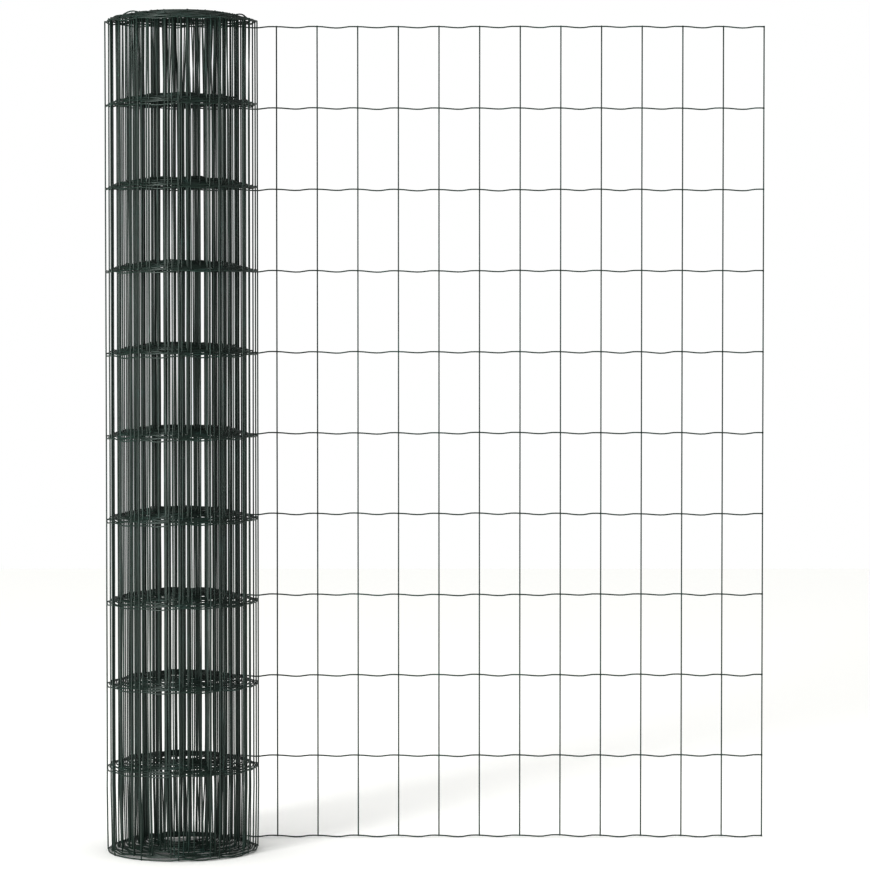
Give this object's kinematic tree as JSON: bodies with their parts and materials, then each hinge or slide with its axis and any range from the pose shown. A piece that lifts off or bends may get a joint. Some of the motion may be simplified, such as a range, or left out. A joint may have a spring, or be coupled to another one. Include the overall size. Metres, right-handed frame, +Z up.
{
  "type": "roll of welded wire fencing",
  "caption": "Upright roll of plastic-coated welded wire fencing with rectangular openings, its free end unrolled flat to one side.",
  "frame": {"origin": "on the roll's axis, at the floor that its outermost turn stands on", "axes": "+Z up the roll's axis; +X along the unrolled free end, away from the roll; +Y towards the back of the roll, where the free end leaves it"},
  "size_m": [0.818, 0.1912, 1.032],
  "materials": {
    "coated_wire": "dark green PVC coat over galvanised steel wire, satin"
  },
  "bodies": {
    "root": {"rolled_mesh": "coated_wire", "unrolled_mesh": "coated_wire"}
  },
  "joints": []
}
